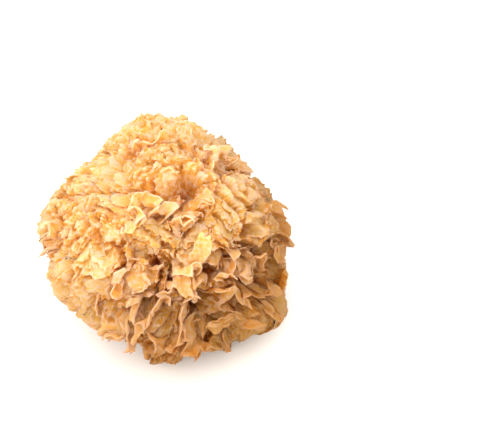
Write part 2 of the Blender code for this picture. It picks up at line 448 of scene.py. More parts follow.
def thickened(head: HeadForm, middle: Array, thickness: float, edge_width: float = 0.0008) -> tuple:
    """Give a grid surface its thickness: two faces, and a narrow flat strip that joins them all round.

    Args:
        head: the head, for the depth of each point in it.
        middle: the middle surface about the focus, rows by columns by three.
        thickness: the distance between the faces.
        edge_width: how fast the edge value falls off from the outline.

    Returns:
        Vertices, quads, how many of the last quads are the strip, and three values for each vertex:
        inwardness, 0 at the outer form and 1 at the focus, edge, 1 at the outline, and hollow.
    """
    middle[..., 2] = np.maximum(middle[..., 2], -head.focus_height + 2 * thickness)
    rows, columns = middle.shape[:2]
    offset = 0.5 * thickness * grid_normals(middle)
    faces = [middle + side.value * offset for side in Side]
    vertices = np.vstack([face.reshape(-1, 3) for face in faces])
    numbers = np.arange(rows * columns).reshape(rows, columns)
    corners = [numbers[:-1, :-1], numbers[:-1, 1:], numbers[1:, 1:], numbers[1:, :-1]]
    front = np.stack([corner.ravel() for corner in corners], axis=1)
    ring = numbers[outline_ring(rows, columns)]
    following = np.roll(ring, -1)
    strip = np.stack([following, ring, ring + numbers.size, following + numbers.size], axis=1)
    quads = np.vstack([front, front[:, ::-1] + numbers.size, strip])
    hollow = hollowness(middle).ravel()
    across, from_margin = arc_lengths(middle)
    from_side = np.minimum(across, across[:, -1:] - across)
    edge = np.exp(-np.minimum(from_margin, from_side) / edge_width).ravel()
    inward = 1.0 - np.linalg.norm(vertices, axis=1) / head.reach(unit(vertices))
    vertices = vertices + np.array([0.0, 0.0, head.focus_height])
    values = {
        "inwardness": inward,
        "edge": np.concatenate([edge, edge]),
        "hollow": np.concatenate([hollow, -hollow]),
    }
    return vertices, quads, len(strip), values


@dataclass(frozen=True)
class Cell:
    """A share of the head: the directions nearer to its axis than to any other."""

    axis: Array
    walls: Array

    def spread(
        self, sideways: Array, outward: Array, distance: Array, facing: float, fill: Array, gap: float,
        roundness: float = 0.0,
    ) -> Array:
        """Offsets from the axis: a square is rounded to a disc and stretched to the cell's outline.

        Args:
            sideways: first offsets, from -1 to 1.
            outward: second offsets, from -1 to 1.
            distance: how far along the axis each point is.
            facing: how far the square is turned about the axis.
            fill: how much of the cell is filled.
            gap: the distance kept from the cell's walls.
            roundness: how much the cell's corners are rounded off, 0 for not at all.

        Returns:
            Vectors at right angles to the axis.
        """
        level = unit(np.cross(self.axis, (0.3, 0.2, 1.0)))
        first = math.cos(facing) * level + math.sin(facing) * np.cross(self.axis, level)
        second = np.cross(self.axis, first)
        round_sideways = sideways * np.sqrt(np.maximum(1.0 - outward**2 / 2, 0.0))
        round_outward = outward * np.sqrt(np.maximum(1.0 - sideways**2 / 2, 0.0))
        offset = round_sideways[..., None] * first + round_outward[..., None] * second
        room = distance[..., None] * (self.walls @ -self.axis) - gap
        share = np.linalg.norm(offset, axis=-1)
        nearness = offset @ self.walls.T / np.maximum(room, 1e-5)
        if roundness > 0.0:
            nearness = np.sum(np.maximum(nearness, 0.0) ** (1.0 / roundness), axis=-1) ** roundness
        else:
            nearness = np.max(nearness, axis=-1)
        return offset * (share / np.maximum(nearness, 1e-3) * fill)[..., None]


@dataclass(frozen=True)
class FrondPlan:
    """Where one frond is and how it folds."""

    number: int
    axis: Array
    walls: Array
    folds: float
    phase: float
    facing: float
    lobe_phase: float
    curl: float
    length: float

    @property
    def node(self) -> str:
        """The name of the frame's node."""
        return f"frond_{self.number + 1:02d}"


@dataclass
class FrondLayout:
    """The layout of all fronds, drawn in the same order as for the solids."""

    head: HeadForm
    count: int = 36
    seed: int = 31
    unevenness: float = 0.10
    folds: tuple[float, float] = (1.4, 1.8)
    curl_across: float = 0.7
    reach_spread: float = 0.05
    leaflet_unevenness: float = 0.08
    waves: list = field(default_factory=list)

    def axes(self, generator: np.random.Generator) -> Array:
        """One direction for each frond.

        Args:
            generator: the source of the random numbers.

        Returns:
            An uneven spread of unit vectors, each then moved to the middle of its share, six times over.
        """
        samples = self.head.spiral_directions(6000)
        spread = generator.normal(0.0, self.unevenness, (self.count, 3))
        axes = unit(self.head.spiral_directions(self.count) + spread)
        for _ in range(6):
            nearest = np.argmax(samples @ axes.T, axis=1)
            axes = unit(np.array([samples[nearest == i].mean(axis=0) for i in range(self.count)]))
        return axes

    def walls(self, axes: Array, number: int) -> Array:
        """The planes through the focus that bound a cell.

        Args:
            axes: the axes of all cells.
            number: which of them the cell belongs to.

        Returns:
            Their outward normals, the last one that of the foot's cone.
        """
        cone = self.head.foot_cone
        azimuth = math.atan2(axes[number][1], axes[number][0])
        below = np.array(
            [math.cos(cone) * math.cos(azimuth), math.cos(cone) * math.sin(azimuth), -math.sin(cone)]
        )
        return np.vstack([unit(np.delete(axes, number, axis=0) - axes[number]), below])

    def leaflet_cells(self, frond_axes: Array, leaflets: int, seed: int) -> list[list[Cell]]:
        """Shares of the outer form for one layer of leaflets, listed by the frond that each forks from.

        Args:
            frond_axes: the fronds' axes.
            leaflets: how many there are in the layer.
            seed: the layer's own seed.

        Returns:
            For each frond, the cells whose axes are nearest to its own.
        """
        generator = np.random.default_rng(seed)
        samples = self.head.spiral_directions(12000)
        spread = generator.normal(0.0, self.leaflet_unevenness, (leaflets, 3))
        axes = unit(self.head.spiral_directions(leaflets) + spread)
        for _ in range(3):
            nearest = np.argmax(samples @ axes.T, axis=1)
            sums = np.zeros_like(axes)
            np.add.at(sums, nearest, samples)
            filled = np.bincount(nearest, minlength=leaflets) > 0
            axes = np.where(filled[:, None], unit(sums), axes)
        owner = np.argmax(axes @ frond_axes.T, axis=1)
        cells = [[] for _ in range(self.count)]
        for number in range(leaflets):
            cells[owner[number]].append(Cell(axes[number], self.walls(axes, number)))
        return cells

    def plans(self) -> list[FrondPlan]:
        """A plan for every frond.

        Returns:
            The plans in the order of the frame's nodes. The lean field's waves are kept on the layout.
        """
        generator = np.random.default_rng(self.seed)
        axes = self.axes(generator)
        self.waves = [
            (generator.normal(0.0, 0.35, 3), generator.normal(0.0, 2.6, 3), generator.uniform(0.0, 2 * math.pi))
            for _ in range(4)
        ]
        plans = []
        for number in range(self.count):
            folds = generator.uniform(*self.folds)
            phase, facing, lobe_phase = generator.uniform(0.0, 2 * math.pi, 3)
            curl = generator.uniform(-self.curl_across, self.curl_across)
            length = 1.0 + generator.uniform(-self.reach_spread, self.reach_spread)
            plans.append(
                FrondPlan(
                    number, axes[number], self.walls(axes, number), folds, phase, facing, lobe_phase, curl, length
                )
            )
        return plans


@dataclass(frozen=True)
class SheetStyle:
    """How a sheet is folded and how finely it is made. Lengths in metres, angles in radians."""

    columns: int
    rows: int
    start: float
    stop: float
    folds: tuple[float, float]
    fold_angle: float
    pleats: float
    pleat_angle: float
    frills: float
    frill_angle: float
    curl_across: float
    depth_fill: float
    cell_fill: float
    lobes: float
    corners: float
    uneven: float
    roll: tuple[float, float]
    roll_waver: float
    roll_length: float
    crumple: float
    cell_roundness: float = 0.0
    least_looseness: float = 0.35
    lowest: float = 0.16
    scallops: tuple = ((0.028, 3.5), (0.012, 7.0))
    creases: tuple = ((0.0075, 4, 1.0), (0.0040, 5, 0.6), (0.0022, 5, 0.3))
    calm_drawn_in: float = 0.08
    low_drawn_in: float = 0.04
    low_limits: tuple[float, float] = (0.30, -0.05)
    lift_limits: tuple[float, float] = (0.30, 0.0)
    wall_gap: float = 0.0004
    thickness: float = 0.00036


STEM = SheetStyle(
    columns=30, rows=7, start=0.23, stop=0.70, folds=(1.4, 1.8), fold_angle=1.60, pleats=3.3, pleat_angle=0.5,
    frills=10.0, frill_angle=0.2, curl_across=0.7, depth_fill=0.8, cell_fill=0.97, lobes=0.06, corners=0.0,
    uneven=0.03, roll=(0.0, 0.0), roll_waver=0.0, roll_length=0.01, crumple=0.0006,
)
FLAP = SheetStyle(
    columns=60, rows=17, start=0.68, stop=1.05, folds=(0.8, 1.4), fold_angle=1.5, pleats=3.6, pleat_angle=0.8,
    frills=6.5, frill_angle=0.8, curl_across=1.0, depth_fill=0.95, cell_fill=1.25, lobes=0.04, corners=0.32,
    uneven=0.05, roll=(0.2, 1.1), roll_waver=0.8, roll_length=0.010, crumple=0.0005, cell_roundness=0.3,
)
LEAFLET = SheetStyle(
    columns=38, rows=12, start=0.70, stop=1.02, folds=(0.8, 1.5), fold_angle=1.5, pleats=3.0, pleat_angle=0.8,
    frills=5.5, frill_angle=0.7, curl_across=1.0, depth_fill=0.95, cell_fill=1.25, lobes=0.03, corners=0.26,
    uneven=0.05, roll=(0.2, 1.0), roll_waver=0.8, roll_length=0.007, crumple=0.0005, cell_roundness=0.3,
    lowest=0.10,
)
LAYERS = ((FLAP, 140, 8), (LEAFLET, 250, 9))


@dataclass(frozen=True)
class WebStyle:
    """The crumpled web of membrane that the leaflets rise from. Lengths in metres."""

    points_across: int = 84
    share: float = 0.915
    loose_share: float = 0.84
    tuck: float = 0.03
    fill: float = 1.05
    skirt_share: float = 0.55
    back_share: float = 0.40
    lobes: tuple = ((220, 0.0046, 0.0056), (700, 0.0019, 0.0028))
    lobe_unevenness: float = 0.10
    warps: tuple = ((0.050, 9.0), (0.016, 30.0))
    pleats: tuple[int, int] = (6, 12)
    pleat_depth: float = 0.0008
    pleat_start: float = 0.0060
    ridges: tuple = ((0.0150, -0.0020), (0.0075, 0.0014), (0.0040, 0.0010), (0.0022, 0.0004))
    ridge_width: float = 0.9
    ridge_roundness: float = 0.10
    ridge_waves: int = 18
    calm_ridges: float = 0.65
    cave_depth: float = 0.008
    cave_rate: float = 7.0
    bend_rate: float = 25.0
    lowering: tuple[float, float] = (0.7, 0.0005)
    floor_gap: float = 0.0007
    seed: int = 77
    side_folds: tuple = ((0.0085, 0.0010), (0.0040, 0.0005), (0.0021, 0.00022))
    side_steepness: tuple[float, float] = (0.22, 0.62)
    side_waves: int = 14
    side_seed: int = 78


@dataclass
class Web:
    """A frond's web: a patch over its whole cell, drawn up into lobes, ridges and pleats, with caves between."""

    head: HeadForm
    cell: Cell
    waves: list
    style: WebStyle = WebStyle()

    def lobed(
        self, directions: Array, reach: Array, count: int, border_width: float, draw: np.random.Generator
    ) -> tuple:
        """Rounded lobes about random centres.

        Args:
            directions: unit vectors from the focus.
            reach: the outer form's distance along each.
            count: how many lobes the whole head has.
            border_width: how far from its border a lobe is fully risen.
            draw: the source of the random numbers.

        Returns:
            How far each point's lobe has risen there, 0 to 1, its number, its centre and the distance to it.
        """
        centres = self.head.spiral_directions(count)
        centres = unit(centres + draw.normal(0.0, self.style.lobe_unevenness * math.sqrt(150 / count), centres.shape))
        nearness = directions @ centres.T
        lobe = np.argmax(nearness, axis=-1)
        angles = np.arccos(np.clip(np.partition(nearness, count - 2, axis=-1)[..., -2:], -1.0, 1.0))
        border = (angles[..., 0] - angles[..., 1]) * reach
        bulge = 1.0 - (1.0 - np.clip(border / border_width, 0.0, 1.0)) ** 2
        return bulge, lobe, centres[lobe], angles[..., 1] * reach

    def ridged(self, directions: Array, draw: np.random.Generator) -> Array:
        """Thin meandering ridges and grooves of several scales.

        Args:
            directions: unit vectors from the focus.
            draw: the source of the random numbers.

        Returns:
            Heights in metres: squares of one less the size of a smooth field, times a ridge's height or a
            groove's depth, sharp where the field is zero.
        """
        total = np.zeros(directions.shape[:-1])
        for spacing, amount in self.style.ridges:
            rate = math.pi * self.head.width / spacing
            field_here = self.head.band(directions, rate, self.style.ridge_waves, draw)
            away = np.sqrt(field_here**2 + self.style.ridge_roundness**2) - self.style.ridge_roundness
            crest = np.clip(1.0 - away / self.style.ridge_width, 0.0, 1.0)
            total = total + amount * crest * crest
        return total

    def heights(self, directions: Array, reach: Array) -> Array:
        """How far the web stands out: lobes, creased from their middles outwards, and ridges.

        Args:
            directions: unit vectors from the focus.
            reach: the outer form's distance along each.

        Returns:
            Heights in metres. The grooves between lobes deepen into caves in places.
        """
        style = self.style
        draw = np.random.default_rng(style.seed)
        warped = directions
        for amount, rate in style.warps:
            warped = warped + amount * self.head.field(directions, rate, 10, 3, draw)
        warped = unit(warped)
        (coarse, coarse_rise, coarse_border), (fine, fine_rise, fine_border) = style.lobes
        bulge, lobe, middle, away = self.lobed(warped, reach, coarse, coarse_border, draw)
        small, _, _, _ = self.lobed(warped, reach, fine, fine_border, draw)
        pleats = draw.integers(*style.pleats, coarse)
        phases = draw.uniform(0.0, 2 * math.pi, coarse)
        rises = draw.uniform(0.5, 1.3, coarse)
        level = unit(np.cross(middle, (0.3, 0.2, 1.0)))
        turn = np.arctan2(np.sum(warped * np.cross(middle, level), axis=-1), np.sum(warped * level, axis=-1))
        bend = self.head.field(directions, style.bend_rate, 8, 1, draw)[..., 0]
        crease = np.abs(np.sin(0.5 * pleats[lobe] * turn + phases[lobe] + 0.5 * bend))
        spread = np.clip(away / style.pleat_start, 0.0, 1.0)
        open_here = smooth_step(0.1, 1.0, self.head.field(directions, style.cave_rate, 10, 1, draw)[..., 0])
        loose_here = self.head.looseness(directions)
        open_here = open_here * loose_here
        height = bulge * (coarse_rise * rises[lobe] - style.pleat_depth * spread * crease) + fine_rise * small
        height = height + self.ridged(warped, draw) * (style.calm_ridges + (1.0 - style.calm_ridges) * loose_here)
        height = height + self.head.swell_heights(directions)
        return height - style.cave_depth * open_here * (1.0 - bulge) ** 2 - self.head.cave_depths(directions)

    def middle_surface(self) -> Array:
        """The web's outer surface before it is crumpled.

        Returns:
            Points about the focus, rows by columns by three.
        """
        style = self.style
        steps = np.linspace(-1.0, 1.0, style.points_across)
        sideways, outward = np.meshgrid(steps, steps)
        distance = style.share * self.head.reach(self.cell.axis) * np.ones_like(sideways)
        offset = self.cell.spread(sideways, outward, distance, 0.0, style.fill, 0.0)
        directions = unit(distance[..., None] * self.cell.axis + offset)
        reach = self.head.reach(directions)
        border = np.maximum(np.abs(sideways), np.abs(outward))
        share = style.share + (style.loose_share - style.share) * self.head.looseness(directions)
        lowered = style.lowering[0] * sum(rise for _, rise, _ in style.lobes) - style.lowering[1]
        distance = reach * (share - style.tuck * border**24) + self.heights(directions, reach) - lowered
        return self.head.lean_over(directions, distance, self.waves)

    def side_relief(self, points: Array) -> Array:
        """Folds on the web's steep sides, where heights from the focus can't make any.

        Args:
            points: the web's surface about the focus.

        Returns:
            Moves along the surface's normals: folded fields of the points, times the steepness, which is one
            less the size of the cosine between the normal and the direction from the focus.
        """
        draw = np.random.default_rng(self.style.side_seed)
        normals = grid_normals(points)
        level = np.abs(np.sum(normals * unit(points), axis=-1))
        steep = smooth_step(*self.style.side_steepness, 1.0 - level)
        total = np.zeros(points.shape[:-1])
        for spacing, amount in self.style.side_folds:
            field_here = self.head.band(points, 2 * math.pi / spacing, self.style.side_waves, draw)
            total = total + amount * (0.5 - np.minimum(np.abs(field_here), 1.0))
        return (steep * total)[..., None] * normals

    def thick_mesh(self) -> tuple:
        """The folded patch, closed by a skirt that runs in towards the focus and a blunt cone behind it.

        Returns:
            Vertices, quads, how many of the last quads are flat shaded, and each vertex's values.
        """
        front = self.head.crumpled(self.middle_surface())
        front = front + self.side_relief(front)
        front[..., 2] = np.maximum(front[..., 2], -self.head.focus_height + self.style.floor_gap)
        rows, columns = front.shape[:2]
        tip = self.style.back_share * self.head.reach(self.cell.axis) * self.cell.axis
        outline = front[outline_ring(rows, columns)]
        vertices = np.vstack([front.reshape(-1, 3), self.style.skirt_share * outline, tip])
        numbers = np.arange(rows * columns).reshape(rows, columns)
        corners = [numbers[:-1, :-1], numbers[:-1, 1:], numbers[1:, 1:], numbers[1:, :-1]]
        quads = np.stack([corner.ravel() for corner in corners], axis=1)
        ring = numbers[outline_ring(rows, columns)]
        lower = rows * columns + np.arange(len(ring))
        skirt = np.stack([np.roll(ring, -1), ring, lower, np.roll(lower, -1)], axis=1)
        tips = np.full(len(ring) // 2, len(vertices) - 1)
        floor = np.stack([tips, np.roll(lower, -2)[::2], np.roll(lower, -1)[::2], lower[::2]], axis=1)
        quads = np.vstack([quads, skirt, floor])
        values = surface_values(self.head, front, vertices)
        return vertices + np.array([0.0, 0.0, self.head.focus_height]), quads, len(skirt) + len(floor), values


@dataclass
class Sheet:
    """One thin sheet, from a narrow root to a ruffled, crumpled margin."""

    head: HeadForm
    style: SheetStyle
    cell: Cell
    waves: list
    generator: np.random.Generator

    def __post_init__(self) -> None:
        """Set up the two parameters: across the sheet, and along it with rows closer near the margin."""
        self.across = np.linspace(0.0, 1.0, self.style.columns + 1)[None, :]
        self.along = (1.0 - (1.0 - np.linspace(0.0, 1.0, self.style.rows + 1)) ** 1.35)[:, None]
        self.folds = self.generator.uniform(*self.style.folds)

    def ripple(self, waves_across: float, drift: float, count: int = 5) -> Array:
        """A band of irregular waves over the sheet.

        Args:
            waves_across: about how many waves there are from side to side.
            drift: how many radians the waves shift from root to margin, at most.
            count: how many sines are added up.

        Returns:
            The sum of sines of nearby frequencies and any phase, scaled to about one.
        """
        draw = self.generator
        total = np.zeros((self.style.rows + 1, self.style.columns + 1))
        for _ in range(count):
            frequency = 2 * math.pi * waves_across * draw.uniform(0.65, 1.35)
            shift = draw.uniform(-drift, drift)
            total += np.sin(frequency * self.across + shift * self.along + draw.uniform(0.0, 2 * math.pi))
        return total / math.sqrt(count / 2.0) / 1.4

    def heading(self) -> Array:
        """Which way each row runs.

        Returns:
            Angles at each point: folds, pleats and frills added up, the finer ones further out, and a curl.
        """
        style, along, draw = self.style, self.along, self.generator
        phase = draw.uniform(0.0, 2 * math.pi) + draw.uniform(-0.8, 0.8) * along
        folds = style.fold_angle * along**0.6 * np.sin(2 * math.pi * self.folds * self.across + phase)
        pleats = style.pleat_angle * smooth_step(0.10, 0.90, along) * self.ripple(style.pleats * self.folds, 2.5)
        frills = style.frill_angle * smooth_step(0.50, 1.0, along) * self.ripple(style.frills * self.folds, 4.0)
        curl = draw.uniform(-style.curl_across, style.curl_across)
        return folds + pleats + frills + curl * (self.across - 0.5) * 2

    @staticmethod
    def centred(rows: Array) -> Array:
        """Each row's values, moved so that the least and the greatest are as far from zero."""
        return rows - (rows.max(axis=1, keepdims=True) + rows.min(axis=1, keepdims=True)) / 2

    def folded_rows(self) -> tuple[Array, Array]:
        """The rows drawn as meanders inside a square from -1 to 1.

        Returns:
            Sideways and outward offsets: the running sums of the heading's cosine and sine, scaled.
        """
        heading = self.heading()
        middle = (heading[:, 1:] + heading[:, :-1]) / 2
        zero = np.zeros((self.style.rows + 1, 1))
        sideways = self.centred(np.hstack([zero, np.cumsum(np.cos(middle), axis=1)]))
        outward = self.centred(np.hstack([zero, np.cumsum(np.sin(middle), axis=1)]))
        width = sideways.max(axis=1, keepdims=True)
        depth = outward.max() * width / width[-1]
        return sideways / width, self.style.depth_fill * outward / depth

    def margin_outline(self) -> Array:
        """How far each column reaches.

        Returns:
            Shares of the outer form's distance, less lobes, scallops, two clefts and rounded corners.
        """
        style, draw = self.style, self.generator
        length = 1.0 + draw.uniform(-style.uneven, 0.6 * style.uneven)
        lobes = style.lobes * (0.5 - 0.5 * np.cos(4 * math.pi * self.folds * self.across + draw.uniform(0.0, 6.28)))
        scallops = sum(depth * np.abs(self.ripple(waves, 0.0)[-1:]) for depth, waves in self.style.scallops)
        clefts = np.zeros_like(self.across)
        for _ in range(2):
            place, width = draw.uniform(0.05, 0.95), draw.uniform(0.015, 0.04)
            clefts += draw.uniform(0.02, 0.10) * np.exp(-(((self.across - place) / width) ** 2))
        corners = style.corners * np.abs(2 * self.across - 1.0) ** 2.2
        return style.stop * length - lobes - scallops - clefts - corners

    def middle_surface(self) -> Array:
        """The sheet's middle surface before it is crumpled, with rows from root to margin.

        Returns:
            Points about the focus, rows by columns by three.
        """
        sideways, outward = self.folded_rows()
        reach = self.head.reach(self.cell.axis)
        distance = reach * (self.style.start + (self.style.stop - self.style.start) * self.along)
        fill = self.style.cell_fill * (0.85 + 0.15 * self.along)
        facing = self.generator.uniform(0.0, 2 * math.pi)
        distance = distance * np.ones_like(sideways)
        offset = self.cell.spread(
            sideways, outward, distance, facing, fill, self.style.wall_gap, self.style.cell_roundness
        )
        directions = unit(distance[..., None] * self.cell.axis + offset)
        calm = 1.0 - self.head.looseness(self.cell.axis)
        style, height = self.style, self.cell.axis[2]
        drawn_in = style.calm_drawn_in * calm + style.low_drawn_in * smooth_step(*style.low_limits, height)
        lifted = smooth_step(*style.lift_limits, height) * self.head.swell_heights(self.cell.axis) / reach
        share = self.style.start + (self.margin_outline() - drawn_in + lifted - self.style.start) * self.along
        return self.head.lean_over(directions, self.head.reach(directions) * share, self.waves)

    def creases(self, across: Array, along: Array, spacing: float, count: int) -> Array:
        """Crumpled creases: the mean of folded sines in many directions, each bent by a slower wave.

        Args:
            across: running length along the rows.
            along: running length along the columns.
            spacing: about how far apart the creases are.
            count: how many directions are added up.

        Returns:
            Heights from about -1 to 1, sharp along the creases.
        """
        draw, total = self.generator, np.zeros_like(across)
        for _ in range(count):
            turn, phase, bend_phase = draw.uniform(0.0, 2 * math.pi, 3)
            rate = math.pi / (spacing * draw.uniform(0.7, 1.5))
            line = across * math.cos(turn) + along * math.sin(turn)
            side = along * math.cos(turn) - across * math.sin(turn)
            total += np.abs(np.sin(rate * line + 1.1 * np.sin(rate * 0.45 * side + bend_phase) + phase)) - 0.64
        return total / math.sqrt(count)

    def rolled(self, points: Array) -> Array:
        """Bend the margin over towards one face or the other, turning each step from row to row.

        Args:
            points: the unbent middle surface.

        Returns:
            The surface whose steps are turned by an angle that grows towards the margin.
        """
        steps = np.diff(points, axis=0)
        lengths = np.linalg.norm(steps, axis=-1, keepdims=True)
        normals = grid_normals(points)
        normals = unit(normals[1:] + normals[:-1])
        _, from_margin = arc_lengths(points)
        near = 1.0 - smooth_step(0.0, self.style.roll_length, (from_margin[1:] + from_margin[:-1]) / 2)
        roll = self.generator.uniform(*self.style.roll) * self.generator.choice((-1.0, 1.0))
        waver = self.style.roll_waver * self.ripple(0.9 * self.folds + 0.5, 0.6, 3)[1:]
        angle = ((roll + waver) * near)[..., None]
        turned = lengths * (np.cos(angle) * unit(steps) + np.sin(angle) * normals)
        return np.concatenate([points[:1], points[:1] + np.cumsum(turned, axis=0)])

    def crumple_height(self, points: Array) -> Array:
        """How far the surface is pushed along its normals: creases of three spacings, more of them further out.

        Args:
            points: the smooth middle surface.

        Returns:
            Heights in metres.
        """
        across, from_margin = arc_lengths(points)
        parts = [
            depth * self.creases(across, from_margin, spacing, count) for spacing, count, depth in self.style.creases
        ]
        height = parts[0] + parts[1] + parts[2]
        return self.style.crumple * height * smooth_step(0.0, 0.6, self.along)

    def thick_mesh(self) -> tuple:
        """The crumpled sheet with its thickness.

        Returns:
            Vertices, quads, how many of the last quads are the strip, and each vertex's values.
        """
        smooth = self.rolled(self.middle_surface())
        height = self.crumple_height(smooth)
        middle = self.head.crumpled(smooth + grid_normals(smooth) * height[..., None])
        return thickened(self.head, middle, self.style.thickness)


@dataclass(frozen=True)
class Petal:
    """A broad flap that lies along the head, from a root to a free tip. Lengths in metres."""

    root: tuple
    tip: tuple
    width: float
    lift: tuple[float, float]
    folds: float
    fold_depth: float
    cup: float
    columns: int = 34
    rows: int = 26
    thickness: float = 0.00036

    def thick_mesh(self, head: HeadForm, draw: np.random.Generator) -> tuple:
        """The petal's mesh, as thickened gives it.

        Args:
            head: the head that it lies on.
            draw: the source of the random numbers.

        Returns:
            A strip along an arc from the root's direction to the tip's, at a growing share of the outer
            form's distance, with lengthwise folds that fan out and a cupped, ruffled margin.
        """
        across, along = np.meshgrid(np.linspace(-1.0, 1.0, self.columns + 1), np.linspace(0.0, 1.0, self.rows + 1))
        phases = draw.uniform(0.0, 2 * math.pi, 6)
        scallops = 0.07 * np.abs(np.sin(4.0 * across + phases[0])) + 0.04 * np.sin(9.0 * across + phases[1])
        along = along * (1.0 - 0.24 * np.abs(across) ** 2.4 - scallops)
        root, tip = unit(np.array(self.root)), unit(np.array(self.tip))
        path = unit(root + (tip - root) * along[..., None])
        side = unit(np.cross(tip - root, root + tip))
        ripple = np.sin(8.0 * along + phases[2] + 1.7 * np.sign(across))
        half = 0.5 * self.width * (0.5 + 0.5 * smooth_step(0.0, 0.7, along)) * (1.0 + 0.12 * ripple)
        share = self.lift[0] + (self.lift[1] - self.lift[0]) * along
        bend = across + 0.3 * np.sin(3.0 * along + phases[3])
        folds = np.abs(np.sin(math.pi * self.folds * bend + phases[4])) * smooth_step(0.0, 0.4, along)
        frill = np.sin(math.pi * (2.6 * self.folds * bend + 1.5 * along) + phases[5]) * smooth_step(0.4, 1.0, along)
        height = self.fold_depth * (folds + 0.5 * frill) + self.cup * across**2 * along
        distance = head.reach(path) * share + head.swell_heights(path) + height
        middle = path * distance[..., None] + side * (across * half)[..., None]
        return thickened(head, head.crumpled(middle[::-1]), self.thickness)


PETALS = (
    Petal((0.24, -0.708, 0.664), (0.319, -0.494, 0.809), 0.0080, (0.84, 1.05), 0.8, 0.0010, 0.0012),
    Petal((0.167, -0.636, 0.753), (0.239, -0.795, 0.557), 0.0110, (0.84, 0.96), 1.4, 0.0014, -0.0012),
    Petal((-0.264, -0.216, 0.94), (-0.141, -0.522, 0.841), 0.0150, (0.84, 0.945), 2.4, 0.0012, -0.0020),
    Petal((0.64, -0.737, 0.219), (0.338, -0.888, 0.312), 0.0070, (0.84, 0.98), 0.9, 0.0012, 0.0010),
    Petal((0.55, -0.82, -0.18), (0.44, -0.90, 0.04), 0.0110, (0.78, 0.91), 1.4, 0.0014, -0.0014),
    Petal((0.95, -0.22, 0.06), (0.88, -0.40, 0.28), 0.0110, (0.76, 0.93), 1.3, 0.0012, -0.0012),
    Petal((-0.10, -0.97, -0.16), (-0.25, -0.96, 0.08), 0.0110, (0.80, 0.94), 1.4, 0.0012, 0.0012),
)


@dataclass
class Frond:
    """One frond: a stem sheet that forks into leaflets, all in one mesh."""

    head: HeadForm
    plan: FrondPlan
    leaflets: list[tuple[SheetStyle, Cell]]
    petals: list[Petal]
    waves: list

    def stands(self, style: SheetStyle, axis: Array) -> bool:
        """Whether a leaflet stands there.

        Args:
            style: the leaflet's style.
            axis: its cell's axis.

        Returns:
            True where the head is loose, clear of the caves and of the underside.
        """
        head = self.head
        clear = head.cave_depths(axis) - head.swell_heights(axis) < head.cave_clearance
        return bool(head.looseness(axis) > style.least_looseness and clear and axis[2] > style.lowest)

    def sheets(self) -> list:
        """The frond's surfaces.

        Returns:
            The stem sheet, the web, and the leaflets that stand in the frond's shares of the outer form.
        """
        generator = np.random.default_rng(SHEET_SEED + self.plan.number)
        cell = Cell(self.plan.axis, self.plan.walls)
        loose = [pair for pair in self.leaflets if self.stands(pair[0], pair[1].axis)]
        leaflets = [Sheet(self.head, style, leaf, self.waves, generator) for style, leaf in loose]
        return [Sheet(self.head, STEM, cell, self.waves, generator), Web(self.head, cell, self.waves)] + leaflets

    def build(self, material: bpy.types.Material) -> bpy.types.Object:
        """Make the frond's object, in the place of its node.

        Args:
            material: its finish.

        Returns:
            The new object.
        """
        draw = np.random.default_rng(PETAL_SEED + self.plan.number)
        parts = [sheet.thick_mesh() for sheet in self.sheets()]
        parts += [petal.thick_mesh(self.head, draw) for petal in self.petals]
        firsts = np.cumsum([0] + [len(part[0]) for part in parts[:-1]])
        vertices = np.vstack([part[0] for part in parts])
        quads = np.vstack([part[1] + first for part, first in zip(parts, firsts)])
        flat = np.concatenate([np.arange(len(part[1])) >= len(part[1]) - part[2] for part in parts])
        values = {key: np.concatenate([part[3][key] for part in parts]) for key in parts[0][3]}
        piece = new_piece(f"membrane_{self.plan.number + 1:02d}", vertices, quads, values, material)
        piece.data.attributes.new("sharp_face", "BOOLEAN", "FACE").data.foreach_set("value", flat)
        piece.data.set_sharp_from_angle(angle=SHARP_ANGLE)
        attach(piece, "root")
        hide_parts(self.plan.node)
        return piece


def new_piece(
    name: str, vertices: Array, quads: Array, values: dict[str, Array], material: bpy.types.Material
) -> bpy.types.Object:
    """Put computed arrays into a new smooth mesh object.

    Args:
        name: the object's name.
        vertices: points, n by 3.
        quads: corner numbers, m by 4.
        values: one number for each vertex, by attribute name.
        material: the piece's material.

    Returns:
        The object, at the origin.
    """
    mesh = bpy.data.meshes.new(name)
    mesh.vertices.add(len(vertices))
    mesh.vertices.foreach_set("co", vertices.astype(np.float32).ravel())
    mesh.loops.add(quads.size)
    mesh.loops.foreach_set("vertex_index", quads.astype(np.int32).ravel())
    mesh.polygons.add(len(quads))
    mesh.polygons.foreach_set("loop_start", np.arange(0, quads.size, 4, dtype=np.int32))
    mesh.update(calc_edges=True)
    mesh.validate()
    for key, numbers in values.items():
        attribute = mesh.attributes.new(key, "FLOAT", "POINT")
        attribute.data.foreach_set("value", numbers.astype(np.float32).ravel())
    mesh.materials.append(material)
    piece = bpy.data.objects.new(name, mesh)
    bpy.context.scene.collection.objects.link(piece)
    return piece


class Blend(Enum):
    """How one colour is laid over another."""

    OVER = "MIX"
    MULTIPLIED = "MULTIPLY"


